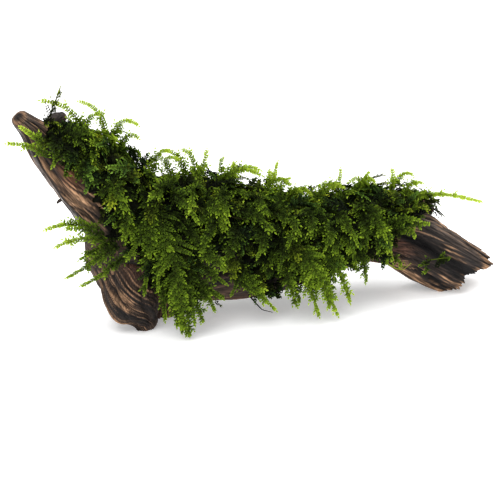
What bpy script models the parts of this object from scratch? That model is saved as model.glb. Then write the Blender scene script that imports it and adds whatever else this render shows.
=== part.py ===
"""Christmas moss on driftwood.

A forked piece of driftwood stands on a knobbly foot and on the broken end of
its trunk. Cushions of feathery moss sit on its top, front and back, and their
fronds hang down the front and reach out past the wood.

Lengths are in millimetres and become metres where a mesh is made.
X runs along the trunk to the broken end, the front faces -Y, and +Z is up.
"""
import math

import bmesh
import bpy
from mathutils import Vector, noise

MM = 0.001
GAP = 0.3
CENTRE = Vector((3.05, 2.18, 1.3))
FRONT = Vector((0.0, -1.0, 0.0))

# Wood: x, y, z of the middle, half depth front to back, half height across
TRUNK = (
    (-36.0, 2.0, 23.0, 6.5, 8.0),
    (-25.0, 2.0, 22.5, 8.6, 12.4),
    (-14.0, 2.0, 20.4, 9.0, 13.8),
    (-3.0, 2.0, 18.2, 8.6, 12.5),
    (8.0, 2.0, 16.6, 8.0, 10.6),
    (19.0, 2.2, 17.4, 7.6, 8.8),
    (30.0, 2.5, 19.2, 7.3, 7.8),
    (41.0, 2.5, 16.9, 7.4, 8.0),
    (49.5, 2.2, 11.2, 7.6, 8.0),
    (57.0, 2.0, 6.6, 7.0, 7.6),
)
ARM = (
    (-55.3, 1.5, 55.6, 2.0, 1.9),
    (-52.6, 1.6, 52.8, 3.0, 2.8),
    (-47.6, 1.8, 47.2, 4.4, 5.2),
    (-41.6, 2.0, 41.2, 5.7, 7.7),
    (-36.0, 2.0, 34.8, 6.8, 8.7),
    (-31.4, 2.0, 27.4, 7.2, 9.5),
    (-29.8, 2.0, 19.4, 7.0, 10.7),
    (-29.4, 1.8, 13.0, 6.0, 9.0),
)
FOOT = (
    (-31.2, 0.4, 17.5, 5.6, 5.8),
    (-31.8, -0.4, 13.4, 5.9, 5.7),
    (-31.0, -1.0, 9.6, 6.5, 6.3),
    (-28.9, -1.2, 6.0, 5.8, 5.2),
    (-27.6, -1.2, 3.2, 4.2, 3.0),
)
HEEL = (
    (-23.4, 5.0, 13.5, 4.6, 4.4),
    (-22.6, 5.6, 9.0, 5.0, 4.7),
    (-22.2, 6.2, 4.6, 4.8, 4.6),
    (-22.0, 6.6, 1.0, 3.9, 3.8),
)
SPUR = (
    (42.6, 3.6, 19.0, 4.2, 4.4),
    (44.8, 3.6, 22.6, 3.6, 3.5),
    (47.8, 3.6, 23.4, 2.3, 2.2),
    (49.6, 3.6, 22.2, 1.5, 1.4),
)
KNOT = (
    (-48.6, 3.2, 50.6, 2.6, 2.8),
    (-46.8, 3.2, 53.6, 2.2, 2.2),
    (-44.8, 3.2, 55.0, 1.3, 1.3),
)

# Grooves along the grain: angle, half width in degrees, depth, from, to
TRUNK_GROOVES = (
    (24, 5, 1.5, 0.70, 1.05),
    (2, 10, 1.6, 0.72, 1.05),
    (-32, 7, 1.1, 0.66, 1.05),
    (-62, 7, 0.8, 0.60, 1.00),
    (60, 7, 0.7, 0.66, 1.05),
    (118, 9, 1.2, 0.55, 1.05),
    (165, 9, 1.3, 0.20, 1.05),
    (205, 8, 1.1, 0.05, 0.95),
    (-100, 9, 0.9, 0.05, 0.80),
)
ARM_GROOVES = (
    (-66, 8, 0.8, 0.10, 0.90),
    (-36, 8, 0.9, 0.16, 0.80),
    (-8, 8, 0.7, 0.20, 0.90),
    (40, 9, 0.8, 0.15, 0.70),
    (150, 10, 1.0, 0.15, 0.90),
    (212, 9, 1.0, 0.15, 0.90),
)
FOOT_GROOVES = (
    (-40, 12, 0.8, 0.20, 0.95),
    (18, 12, 0.8, 0.25, 0.95),
    (160, 14, 0.8, 0.20, 0.90),
)
HEEL_GROOVES = ((20, 14, 0.6, 0.2, 0.9), (-150, 14, 0.6, 0.2, 0.9))

# Broken end: share of the half height, and how far the splinters reach there
SPLINTERS = (
    (-1.0, -0.8),
    (-0.5, 1.0),
    (-0.1, 0.2),
    (0.1, 2.0),
    (0.4, 3.8),
    (0.72, 6.4),
    (1.0, 4.2),
)

LIFT = 0.9
WOOD_BROWN = (0.105, 0.062, 0.038, 1.0)
KNOT_TAN = (0.24, 0.14, 0.08, 1.0)
MOSS_GREEN = (0.075, 0.19, 0.02, 1.0)
MOSS_DARK = (0.03, 0.085, 0.012, 1.0)


# Clumps of moss. Shares run along the limb, angles hold the lower front edge
# and the lower back edge at the clump's start, middle and end, depth is its
# thickness, grid and shingles count along and around it, and each placed
# frond has a root, a middle, a tip and a width.
TRUNK_CLUMPS = {
    "moss_left_curtain": {
        "shares": (0.05, 0.30),
        "angles": ((-46, -60, -54), (218, 222, 218)),
        "depth": 4.4,
        "grid": (6, 14),
        "shingles": (2, 5),
        "fronds": (
            ((-22.0, -6.0, 32.0), (-22.5, -19.0, 21.0), (-19.4, -13.0, 1.8), 10.5),
            ((-17.0, -7.0, 24.0), (-13.0, -14.0, 24.0), (-10.5, -13.0, 18.3), 4.4),
            ((-24.0, -7.0, 20.0), (-26.0, -14.0, 21.0), (-26.0, -12.0, 15.8), 4.6),
            ((-15.0, -7.0, 18.0), (-12.0, -14.0, 17.5), (-9.7, -12.0, 14.2), 4.4),
            ((-14.0, -7.0, 14.0), (-12.0, -13.0, 13.0), (-9.9, -11.0, 10.5), 3.6),
            ((-23.0, -5.0, 13.0), (-25.0, -12.0, 12.5), (-24.5, -10.0, 6.1), 4.8),
            ((-18.0, -7.0, 15.0), (-15.0, -15.0, 15.0), (-13.1, -14.0, 8.4), 4.4),
            ((-15.0, 2.0, 34.0), (-16.5, 2.0, 45.0), (-21.2, 2.0, 44.9), 3.2),
            ((-13.0, 2.0, 34.0), (-13.0, 3.0, 44.0), (-16.0, 4.0, 44.1), 3.0),
            ((-12.5, 2.0, 34.0), (-10.5, 3.0, 41.0), (-10.0, 3.0, 43.9), 3.0),
            ((-19.0, 10.0, 27.0), (-20.0, 22.0, 23.0), (-21.0, 18.5, 12.0), 6.0),
        ),
    },
    "moss_right_curtain": {
        "shares": (0.48, 0.70),
        "angles": ((-40, -46, -34), (212, 212, 210)),
        "depth": 4.1,
        "grid": (5, 14),
        "shingles": (2, 5),
        "fronds": (
            ((11.0, -5.0, 20.0), (13.0, -16.0, 15.0), (19.0, -14.0, 3.0), 7.5),
            ((12.0, -6.0, 15.0), (12.0, -14.0, 12.0), (13.5, -14.0, 3.6), 4.6),
            ((19.0, -5.0, 18.0), (21.5, -14.0, 14.0), (23.0, -11.0, 5.1), 6.4),
            ((11.0, 1.0, 26.0), (11.0, 0.0, 35.0), (13.4, -1.0, 31.7), 4.2),
            ((23.5, 2.0, 26.0), (23.8, 2.0, 33.0), (24.4, 2.0, 36.3), 2.8),
            ((29.0, 2.0, 27.0), (31.0, 3.0, 33.0), (32.7, 4.0, 34.2), 3.2),
            ((24.0, 2.0, 26.0), (22.0, 1.0, 35.0), (18.0, 1.0, 32.4), 3.2),
            ((18.0, 9.0, 20.0), (19.0, 19.5, 18.0), (18.0, 16.5, 8.0), 5.6),
        ),
    },
    "moss_middle": {
        "shares": (0.28, 0.50),
        "angles": ((-38, -30, -30), (216, 216, 212)),
        "depth": 4.3,
        "grid": (5, 14),
        "shingles": (2, 5),
        "fronds": (
            ((-5.0, -6.0, 18.0), (-7.0, -14.0, 17.0), (-8.2, -12.0, 11.2), 4.4),
            ((0.0, -6.0, 16.0), (1.0, -14.0, 14.0), (2.9, -13.0, 6.4), 4.8),
            ((5.0, -6.0, 14.0), (7.5, -14.0, 14.0), (8.8, -13.0, 7.5), 4.4),
            ((-7.0, 2.0, 31.0), (-8.0, 2.0, 41.0), (-6.0, 2.0, 41.8), 2.6),
            ((-6.0, 2.0, 31.0), (-4.0, 1.0, 42.0), (2.6, 0.0, 38.3), 4.4),
            ((-4.0, 3.0, 30.0), (-3.5, 4.0, 37.0), (-2.6, 5.0, 39.6), 3.0),
            ((6.0, 2.0, 27.0), (6.5, 3.0, 35.0), (8.5, 4.0, 38.9), 2.6),
            ((5.0, 2.0, 27.0), (5.2, 2.0, 34.0), (5.8, 2.0, 37.4), 2.6),
            ((6.5, 2.0, 27.0), (8.0, 1.0, 36.0), (10.7, 1.0, 35.2), 3.2),
            ((0.0, 10.0, 22.0), (1.0, 21.5, 20.0), (2.0, 18.0, 10.0), 5.6),
        ),
    },
    "moss_right_spray": {
        "shares": (0.685, 0.80),
        "angles": ((-50, -40, -20), (210, 200, 150)),
        "depth": 3.8,
        "grid": (4, 13),
        "shingles": (1, 5),
        "fronds": (
            ((36.0, -4.0, 22.0), (39.0, -10.0, 25.0), (41.0, -8.0, 19.5), 4.4),
            ((34.0, -4.0, 15.0), (37.0, -10.0, 16.0), (37.5, -7.0, 11.6), 3.8),
            ((40.0, -3.0, 20.0), (43.5, -7.0, 23.0), (46.3, -5.0, 21.8), 3.8),
            ((38.0, 2.0, 26.0), (38.8, 2.0, 32.0), (38.6, 3.0, 34.7), 3.2),
            ((39.0, 2.0, 26.0), (40.5, 3.0, 35.0), (44.4, 3.0, 32.6), 3.2),
            ((31.0, 1.0, 27.0), (30.0, 0.0, 36.0), (26.1, 0.0, 33.3), 3.2),
            ((41.0, 1.5, 24.0), (50.0, 1.5, 29.0), (64.2, 3.0, 23.2), 3.2),
            ((40.0, -1.0, 23.0), (44.5, -2.0, 27.0), (47.9, -0.5, 24.0), 2.8),
        ),
    },
    "moss_leg_tuft": {
        "shares": (0.84, 0.90),
        "angles": ((-22, -20, -14), (4, 12, 14)),
        "depth": 1.5,
        "grid": (3, 3),
        "shingles": (1, 1),
        "fronds": (
            ((48.5, -5.0, 12.0), (50.0, -8.0, 13.5), (51.4, -6.4, 12.4), 2.6),
            ((45.5, -5.0, 12.5), (44.0, -8.5, 13.5), (42.5, -7.6, 11.8), 2.8),
        ),
    },
}
ARM_CLUMPS = {
    "moss_arm": {
        "shares": (0.13, 0.72),
        "angles": ((-30, 0, -34), (56, 200, 222)),
        "depth": 4.0,
        "grid": (9, 13),
        "shingles": (3, 4),
        "fronds": (
            ((-49.0, -2.0, 48.0), (-54.0, -5.0, 51.6), (-59.2, -4.0, 51.4), 2.4),
            ((-50.0, -2.0, 49.5), (-53.0, -5.0, 53.0), (-56.0, -4.0, 55.2), 2.8),
            ((-38.0, -3.0, 31.0), (-46.0, -4.0, 32.0), (-51.3, -3.0, 29.3), 2.4),
            ((-37.0, -4.0, 29.0), (-43.0, -6.0, 30.5), (-46.9, -6.0, 30.3), 2.2),
            ((-36.0, -4.0, 27.0), (-44.5, -6.0, 28.5), (-49.3, -5.0, 25.5), 3.8),
            ((-35.0, -4.0, 26.0), (-42.0, -11.0, 23.0), (-47.4, -6.0, 17.6), 3.8),
            ((-32.0, -5.0, 24.0), (-39.5, -12.0, 20.0), (-44.3, -7.0, 15.6), 2.8),
            ((-41.5, 2.0, 50.0), (-42.0, 0.0, 58.5), (-50.3, -1.0, 60.1), 4.0),
            ((-35.0, 2.0, 48.0), (-35.0, 1.0, 57.5), (-41.1, 2.0, 58.4), 2.4),
            ((-35.0, 2.0, 47.0), (-32.5, 1.0, 56.5), (-27.2, 1.0, 51.8), 2.6),
            ((-41.0, 2.0, 50.0), (-40.0, 1.0, 55.5), (-36.4, 1.0, 55.5), 3.2),
            ((-33.0, 2.0, 46.0), (-30.0, 1.0, 49.0), (-27.5, 0.0, 50.0), 3.2),
            ((-27.0, -3.0, 36.0), (-28.0, -13.0, 31.0), (-28.3, -12.0, 22.7), 5.0),
        ),
    },
}


def blend(rows, share):
    """Row at a share of the way along the rows, on a smooth curve."""
    last = len(rows) - 1
    place = min(max(share, 0.0), 1.0) * last
    i = min(int(place), last - 1)
    t = place - i
    before = rows[max(i - 1, 0)]
    after = rows[min(i + 2, last)]
    result = []
    for a, b, c, d in zip(before, rows[i], rows[i + 1], after):
        value = 2 * b + (c - a) * t
        value += (2 * a - 5 * b + 4 * c - d) * t * t
        value += (3 * b - a - 3 * c + d) * t * t * t
        result.append(value / 2)
    return result


def between(table, value):
    """Straight-line reading of a table of pairs."""
    for (x0, y0), (x1, y1) in zip(table, table[1:]):
        if value <= x1:
            return y0 + (y1 - y0) * max(0.0, (value - x0) / (x1 - x0))
    return table[-1][1]


def angle_apart(a, b):
    return abs((a - b + 180) % 360 - 180)


class Limb:
    """A branch through its stations, with grooves along its grain.

    Angles are in degrees: 0 is the front, 90 the upper side, 180 the back.
    """

    def __init__(self, stations, grooves=(), lumps=0.5, seed=0.0):
        self.stations = stations
        self.grooves = grooves
        self.lumps = lumps
        self.seed = seed

    def section(self, share):
        row = blend(self.stations, share)
        ahead = blend(self.stations, min(share + 0.01, 1.0))
        behind = blend(self.stations, max(share - 0.01, 0.0))
        along = (Vector(ahead[:3]) - Vector(behind[:3])).normalized()
        front = (FRONT - along * FRONT.dot(along)).normalized()
        return Vector(row[:3]), along, front, front.cross(along), row[3], row[4]

    def relief(self, share, angle):
        """Height of the lumps and grooves above the plain section."""
        height = 0.0
        for centre, half, depth, start, end in self.grooves:
            wander = 6 * math.sin(7 * share + centre)
            across = angle_apart(angle, centre + wander) / half
            inside = min((share - start) / 0.08, (end - share) / 0.08, 1.0)
            if across < 3 and inside > 0:
                height -= depth * inside * math.exp(-across * across)
        turn = math.radians(angle)
        spot = Vector((math.cos(turn) * 1.5, math.sin(turn) * 1.5,
                       share * len(self.stations) * 0.7 + self.seed))
        return height + self.lumps * noise.noise(spot)

    def point(self, share, angle, lift=0.0, reach=0.0):
        """Point on the surface, raised by lift and pushed along by reach."""
        middle, along, front, upper, depth, height = self.section(share)
        turn = math.radians(angle)
        c, s = math.cos(turn), math.sin(turn)
        squareness = (abs(c) ** 2.4 + abs(s) ** 2.4) ** (-1 / 2.4)
        out = (front * (c / depth) + upper * (s / height)).normalized()
        base = front * (depth * squareness * c) + upper * (height * squareness * s)
        return middle + base + out * (lift + self.relief(share, angle)) + along * reach

    def nearest(self, target):
        """Share and angle of the surface point nearest to a target."""
        spots = [(i / 40, a) for i in range(41) for a in range(0, 360, 10)]
        return min(spots, key=lambda spot: (self.point(*spot) - target).length)


def add_object(name, bm, collection, material=None):
    """Object from a bmesh drawn in millimetres."""
    for vert in bm.verts:
        vert.co = (vert.co - CENTRE) * MM
    bmesh.ops.recalc_face_normals(bm, faces=bm.faces)
    mesh = bpy.data.meshes.new(name)
    bm.to_mesh(mesh)
    bm.free()
    mesh.shade_smooth()
    mesh.set_sharp_from_angle(angle=math.radians(50))
    if material:
        mesh.materials.append(material)
    obj = bpy.data.objects.new(name, mesh)
    collection.objects.link(obj)
    return obj


def skin(bm, rings):
    """Closed surface over rings of points, each end closed on its middle."""
    rows = [[bm.verts.new(p) for p in ring] for ring in rings]
    count = len(rows[0])
    for row, following in zip(rows, rows[1:]):
        for i in range(count):
            j = (i + 1) % count
            bm.faces.new((row[i], row[j], following[j], following[i]))
    for row in (rows[0], rows[-1]):
        middle = bm.verts.new(sum((v.co for v in row), Vector()) / count)
        for i in range(count):
            bm.faces.new((row[i], row[(i + 1) % count], middle))


def limb_rings(limb, around, lengths, reach=None):
    rings = []
    for i in range(lengths + 1):
        share = i / lengths
        ring = []
        for j in range(around):
            angle = 360 * j / around
            push = reach(angle) * max(0.0, share * 6 - 5) if reach else 0.0
            ring.append(limb.point(share, angle, 0.0, push))
        rings.append(ring)
    return rings


def dome(limb, share, around, height):
    """Rings that round off an end of a limb."""
    middle, along = limb.section(share)[:2]
    rings = []
    for turn in (35, 65):
        shrink = math.cos(math.radians(turn))
        rise = along * height * math.sin(math.radians(turn))
        rise *= 1 if share > 0.5 else -1
        ring = []
        for j in range(around):
            edge = limb.point(share, 360 * j / around)
            ring.append(middle + (edge - middle) * shrink + rise)
        rings.append(ring)
    return rings if share > 0.5 else rings[::-1]


def rounded_limb(name, limb, around, lengths, start, end, collection, material):
    """Limb with a domed end of the given height at each end."""
    rings = dome(limb, 0.0, around, start)
    rings += limb_rings(limb, around, lengths)
    rings += dome(limb, 1.0, around, end)
    bm = bmesh.new()
    skin(bm, rings)
    return add_object(name, bm, collection, material)


def splinter_reach(angle):
    """How far the grain reaches beyond the last station at an angle."""
    reach = between(SPLINTERS, math.sin(math.radians(angle)))
    return reach + 0.9 * noise.noise(Vector((angle / 14, 3.1, 0.7)))


def broken_trunk(limb, around, lengths, collection, material):
    """Trunk with a rounded butt and a hollow, ragged broken end."""
    rings = dome(limb, 0.0, around, 5.0)
    body = limb_rings(limb, around, lengths, splinter_reach)
    rings += body
    middle, along = limb.section(1.0)[:2]
    centre = middle + along * 3.0
    for shrink, sink in ((0.72, 1.2), (0.35, 2.2)):
        ring = []
        for edge in body[-1]:
            ring.append(centre + (edge - centre) * shrink - along * sink)
        rings.append(ring)
    bm = bmesh.new()
    skin(bm, rings)
    return add_object("trunk", bm, collection, material)


def box(name, low, high, collection):
    bm = bmesh.new()
    bmesh.ops.create_cube(bm, size=1.0)
    for vert in bm.verts:
        for axis in range(3):
            vert.co[axis] = high[axis] if vert.co[axis] > 0 else low[axis]
    return add_object(name, bm, collection)


def clearance(obj, collection):
    """Copy of an object, grown by the gap, to cut its neighbours with."""
    copy = bpy.data.objects.new(obj.name + "_clearance", evaluated(obj))
    collection.objects.link(copy)
    grow = copy.modifiers.new("grow", "DISPLACE")
    grow.mid_level = 0.0
    grow.strength = GAP * MM
    return copy


def evaluated(obj):
    """New mesh of an object with its modifiers applied."""
    graph = bpy.context.evaluated_depsgraph_get()
    return bpy.data.meshes.new_from_object(obj.evaluated_get(graph))


def boolean(obj, other, operation, tangled=False):
    """Boolean step; a tangled one has fronds that cross each other."""
    step = obj.modifiers.new(operation.lower() + "_" + other.name, "BOOLEAN")
    step.operation = operation
    step.solver = "MANIFOLD" if tangled else "EXACT"
    step.object = other


def settle(obj):
    """Apply the modifiers and keep the largest body of the result."""
    mesh = evaluated(obj)
    obj.modifiers.clear()
    bm = bmesh.new()
    bm.from_mesh(mesh)
    bodies = []
    unseen = set(bm.faces)
    while unseen:
        stack = [unseen.pop()]
        body = set(stack)
        while stack:
            for edge in stack.pop().edges:
                for face in edge.link_faces:
                    if face in unseen:
                        unseen.discard(face)
                        body.add(face)
                        stack.append(face)
        bodies.append(body)
    largest = max(bodies, key=len)
    spare = [f for f in bm.faces if f not in largest]
    bmesh.ops.delete(bm, geom=spare, context="FACES")
    loose = [v for v in bm.verts if not v.link_faces]
    bmesh.ops.delete(bm, geom=loose, context="VERTS")
    between_two = [v for v in bm.verts if len(v.link_edges) == 2]
    bmesh.ops.dissolve_verts(bm, verts=between_two)
    bmesh.ops.triangulate(bm, faces=bm.faces)
    bmesh.ops.recalc_face_normals(bm, faces=bm.faces)
    bm.to_mesh(mesh)
    bm.free()
    mesh.shade_smooth()
    mesh.set_sharp_from_angle(angle=math.radians(50))
    obj.data = mesh


def near(obj, other):
    """Whether the boxes round two objects meet."""
    for axis in range(3):
        ours = [corner[axis] for corner in obj.bound_box]
        theirs = [corner[axis] for corner in other.bound_box]
        if max(ours) < min(theirs) or max(theirs) < min(ours):
            return False
    return True


def cut(obj, cutters, tangled=False):
    for cutter in cutters:
        if near(obj, cutter):
            boolean(obj, cutter, "DIFFERENCE", tangled)
    settle(obj)


def bound(edge, share):
    """Angle of a cushion's edge, given at its start, middle and end."""
    return between(((0.0, edge[0]), (0.5, edge[1]), (1.0, edge[2])), share)


def cushion_rings(limb, clump, seed):
    """Loops round a cushion of moss, across its top and back under it."""
    columns, rows = clump["grid"]
    low, high = clump["angles"]
    rings = []
    for i in range(columns + 1):
        u = i / columns
        share_here = clump["shares"][0] + (clump["shares"][1] - clump["shares"][0]) * u
        top, base = [], []
        for j in range(rows + 1):
            v = j / rows
            uneven = noise.noise(Vector((v * 4, u * 2, seed + 7)))
            share = share_here + 0.03 * uneven * (2 * u - 1)
            ragged = 9 * noise.noise(Vector((share * 40, v * 3, seed))) * (1 - 2 * v)
            angle = bound(low, u) * (1 - v) + bound(high, u) * v + ragged
            rim = (1 - abs(2 * u - 1) ** 5) * (1 - abs(2 * v - 1) ** 5)
            lump = 1 + 0.45 * noise.noise(Vector((share * 30, angle / 22, seed)))
            depth = clump["depth"] * (0.28 + 0.72 * rim) * lump
            top.append(limb.point(share, angle, LIFT + depth))
            base.append(limb.point(share, angle, LIFT))
        rings.append(top + base[::-1])
    return rings


def cushion(bm, rings):
    """Closed cushion over its loops, with flat ends."""
    strips = [[bm.verts.new(p) for p in ring] for ring in rings]
    count = len(strips[0])
    for strip, following in zip(strips, strips[1:]):
        for k in range(count):
            n = (k + 1) % count
            bm.faces.new((strip[k], strip[n], following[n], following[k]))
    for strip in (strips[0], strips[-1]):
        for j in range(count // 2 - 1):
            bm.faces.new((strip[j], strip[j + 1], strip[count - 2 - j], strip[count - 1 - j]))


def frond_rings(path, width, face, steps):
    """Diamond sections of a flat feathery frond along its bent path."""
    start, middle, tip = path
    rings = []
    for i in range(steps):
        t = i / steps
        spot = start * (1 - t) ** 2 + middle * (2 * t * (1 - t)) + tip * (t * t)
        along = ((middle - start) * (1 - t) + (tip - middle) * t).normalized()
        side = along.cross(face).normalized()
        normal = side.cross(along)
        feather = 1.0 if i % 2 else 0.72
        half = width / 2 * feather * min(1.0, 0.5 + 2 * t, 0.3 + 1.7 * (1 - t))
        thick = 0.3 + 0.5 * (1 - t)
        rings.append([spot + side * half, spot + normal * thick,
                      spot - side * half, spot - normal * thick])
    return rings, tip


def frond(bm, rings, tip):
    """Closed frond over its diamond sections, drawn out to its tip."""
    rows = [[bm.verts.new(p) for p in ring] for ring in rings]
    point = bm.verts.new(tip)
    bm.faces.new(rows[0])
    for row, following in zip(rows, rows[1:]):
        for i in range(4):
            j = (i + 1) % 4
            bm.faces.new((row[i], row[j], following[j], following[i]))
    for i in range(4):
        bm.faces.new((rows[-1][i], rows[-1][(i + 1) % 4], point))


def named_fronds(limb, clump):
    """Fronds of a clump that are placed one by one."""
    fronds = []
    for root, middle, tip, width in clump["fronds"]:
        spot = limb.nearest(Vector(root))
        start = limb.point(*spot, LIFT + 1.2)
        path = (start, Vector(middle), Vector(tip))
        fronds.append(frond_rings(path, width, FRONT, 5))
    return fronds


def shingled_fronds(limb, clump, seed):
    """Fronds laid over a cushion like shingles, each hanging downwards."""
    columns, rows = clump["shingles"]
    low, high = clump["angles"]
    fronds = []
    for i in range(columns):
        for j in range(rows):
            shift = 0.25 if j % 2 else -0.25
            u = (i + 0.5 + shift) / columns
            share = clump["shares"][0] + (clump["shares"][1] - clump["shares"][0]) * u
            v = (j + 0.6) / rows
            angle = bound(low, u) * (1 - v) + bound(high, u) * v
            spread = noise.noise(Vector((i * 3.3, j * 2.7, seed)))
            fall = -24 if angle < 90 else 24
            rise = LIFT + clump["depth"]
            start = limb.point(share, angle, LIFT + 1.0)
            middle = limb.point(share, angle + fall * 0.5, rise + 2.6)
            tip = limb.point(share + 0.03 * spread, angle + fall, rise + 1.8 + spread)
            out = (middle - limb.point(share, angle + fall * 0.5)).normalized()
            fronds.append(frond_rings((start, middle, tip), 4.8 + 1.5 * spread, out, 3))
    return fronds


def moss(name, limb, clump, collection, guides, material):
    """Moss clump: a cushion with its fronds joined to it."""
    seed = 0.37 * len(name) + clump["shares"][0] * 9
    body = bmesh.new()
    cushion(body, cushion_rings(limb, clump, seed))
    obj = add_object(name, body, collection, material)
    fronds = named_fronds(limb, clump) + shingled_fronds(limb, clump, seed)
    for i, (rings, tip) in enumerate(fronds):
        blade = bmesh.new()
        frond(blade, rings, tip)
        boolean(obj, add_object(f"{name}_frond_{i}", blade, guides), "UNION", True)
    settle(obj)
    return obj


def make_material(name, colour, roughness):
    material = bpy.data.materials.new(name)
    material.use_nodes = True
    shader = material.node_tree.nodes["Principled BSDF"]
    shader.inputs["Base Color"].default_value = colour
    shader.inputs["Roughness"].default_value = roughness
    shader.inputs["Metallic"].default_value = 0.0
    return material


def build():
    for obj in list(bpy.data.objects):
        bpy.data.objects.remove(obj, do_unlink=True)
    parts = bpy.data.collections.new("christmas_moss_on_driftwood")
    guides = bpy.data.collections.new("guides")
    for collection in (parts, guides):
        bpy.context.scene.collection.children.link(collection)

    bark = make_material("bark", WOOD_BROWN, 0.85)
    knotty = make_material("knot_wood", KNOT_TAN, 0.8)

    leafy = make_material("moss_leafy", MOSS_GREEN, 0.7)
    shaded = make_material("moss_shaded", MOSS_DARK, 0.75)

    trunk = Limb(TRUNK, TRUNK_GROOVES, 0.6, 0.3)
    arm = Limb(ARM, ARM_GROOVES, 0.5, 5.1)
    foot = Limb(FOOT, FOOT_GROOVES, 0.8, 9.4)
    heel = Limb(HEEL, HEEL_GROOVES, 0.7, 12.2)
    spur = Limb(SPUR, (), 0.6, 17.8)
    knot = Limb(KNOT, (), 0.5, 21.5)

    floor = box("floor_cut", (-80, -40, -20), (90, 40, CENTRE.z), guides)
    wood = {}
    wood["trunk"] = broken_trunk(trunk, 24, 19, parts, bark)
    wood["foot"] = rounded_limb("foot", foot, 16, 6, 2.0, 3.0, parts, knotty)
    wood["heel"] = rounded_limb("heel", heel, 12, 4, 2.0, 2.5, parts, knotty)
    wood["arm"] = rounded_limb("arm", arm, 16, 9, 1.6, 3.0, parts, bark)
    for piece, stub, around in (("trunk", spur, 10), ("arm", knot, 8)):
        lump = rounded_limb(piece + "_stub", stub, around, 4, 1.0, 0.8, guides, bark)
        boolean(wood[piece], lump, "UNION")

    cut(wood["trunk"], [floor])
    cutters = [clearance(wood["trunk"], guides)]
    for name in ("foot", "heel", "arm"):
        cut(wood[name], [floor] + cutters)
        cutters.append(clearance(wood[name], guides))

    for clumps, limb in ((TRUNK_CLUMPS, trunk), (ARM_CLUMPS, arm)):
        for name, clump in clumps.items():
            green = leafy if clump["depth"] > 3.9 else shaded
            obj = moss(name, limb, clump, parts, guides, green)
            cut(obj, cutters, True)
            cutters.append(clearance(obj, guides))

    for obj in guides.objects:
        obj.hide_render = True
        obj.display_type = "WIRE"


build()
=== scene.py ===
"""Christmas moss on driftwood: the looks.

The driftwood is lofted finely along the solid model's stations, with grain,
furrows, knots and a splintered end. Each clump of moss is one mesh: a bed of
matted moss, painted near-black as the shade deep in the clump, under feathery
fronds whose side branches carry two rows of folded leaves.

Lengths are in millimetres in the drawing and become metres in the frame.
X runs along the trunk to the broken end, the front faces -Y, and +Z is up.
"""
import math
import random

import bpy
import numpy as np
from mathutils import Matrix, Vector, noise

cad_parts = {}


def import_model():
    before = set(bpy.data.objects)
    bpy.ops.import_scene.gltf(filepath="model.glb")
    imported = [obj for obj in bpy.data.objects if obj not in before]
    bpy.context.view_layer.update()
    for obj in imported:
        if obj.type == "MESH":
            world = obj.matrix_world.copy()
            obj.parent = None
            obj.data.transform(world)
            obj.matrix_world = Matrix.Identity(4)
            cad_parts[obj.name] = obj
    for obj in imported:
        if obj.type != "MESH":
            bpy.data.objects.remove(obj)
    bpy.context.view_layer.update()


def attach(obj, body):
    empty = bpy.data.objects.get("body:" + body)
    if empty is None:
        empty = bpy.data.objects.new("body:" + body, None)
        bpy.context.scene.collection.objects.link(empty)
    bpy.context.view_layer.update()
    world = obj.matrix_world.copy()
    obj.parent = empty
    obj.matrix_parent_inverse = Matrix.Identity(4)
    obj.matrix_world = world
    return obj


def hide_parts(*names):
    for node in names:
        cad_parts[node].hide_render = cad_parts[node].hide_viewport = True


MM = 0.001
CENTRE = np.array((3.05, 2.18, 1.3))
FRONT = np.array((0.0, -1.0, 0.0))
DOWN = np.array((0.0, 0.0, -1.0))

# Names that the meshes and the materials share
UV_MAP = "OFBake"
BARK_COLOURS = "bark"

# Camera: where it looks in the drawing, how far off, from where, and its lens
LOOK_AT = np.array((0.0, 0.0, 18.0))
CAMERA_DISTANCE = 380.0
CAMERA_AZIMUTH = -17.0
CAMERA_ELEVATION = 20.0
CAMERA_LENS = 110
CAMERA_SENSOR = 36

# Stage, in metres: the floor's size and glow, the light from all round, and
# the lamps' aim, names, places, sizes and powers
FLOOR_SIZE = 40.0
FLOOR_GLOW = 0.3
WORLD_LIGHT = 0.62
LAMPS_AIM = (0, 0, 0.02)
LAMPS = (("key", (-0.25, -0.35, 0.6), 0.5, 3.6), ("top", (0.1, 0.15, 0.7), 0.6, 4.2))

# Wood: x, y, z of the middle, half depth front to back, half height across
TRUNK = (
    (-36, 2, 23, 6.5, 8),
    (-25, 2, 22.5, 8.6, 12.4),
    (-14, 2, 20.4, 9, 13.8),
    (-3, 2, 18.2, 8.6, 12.5),
    (8, 2, 16.6, 8, 10.6),
    (19, 2.2, 17.4, 7.6, 8.8),
    (30, 2.5, 19.2, 7.3, 7.8),
    (41, 2.5, 16.9, 7.4, 8),
    (49.5, 2.2, 11.2, 7.6, 8),
    (57, 2, 6.6, 7, 7.6),
)
ARM = (
    (-55.3, 1.5, 55.6, 2, 1.9),
    (-52.6, 1.6, 52.8, 3, 2.8),
    (-47.6, 1.8, 47.2, 4.4, 5.2),
    (-41.6, 2, 41.2, 5.7, 7.7),
    (-36, 2, 34.8, 6.8, 8.7),
    (-31.4, 2, 27.4, 7.2, 9.5),
    (-29.8, 2, 19.4, 7, 10.7),
    (-29.4, 1.8, 13, 6, 9),
)
FOOT = (
    (-31.2, 0.4, 17.5, 5.6, 5.8),
    (-31.8, -0.4, 13.4, 5.9, 5.7),
    (-31, -1, 9.6, 6.5, 6.3),
    (-28.9, -1.2, 6, 5.8, 5.2),
    (-27.6, -1.2, 3.2, 4.2, 3),
)
HEEL = (
    (-23.4, 5, 13.5, 4.6, 4.4),
    (-22.6, 5.6, 9, 5, 4.7),
    (-22.2, 6.2, 4.6, 4.8, 4.6),
    (-22, 6.6, 1, 3.9, 3.8),
)

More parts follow.
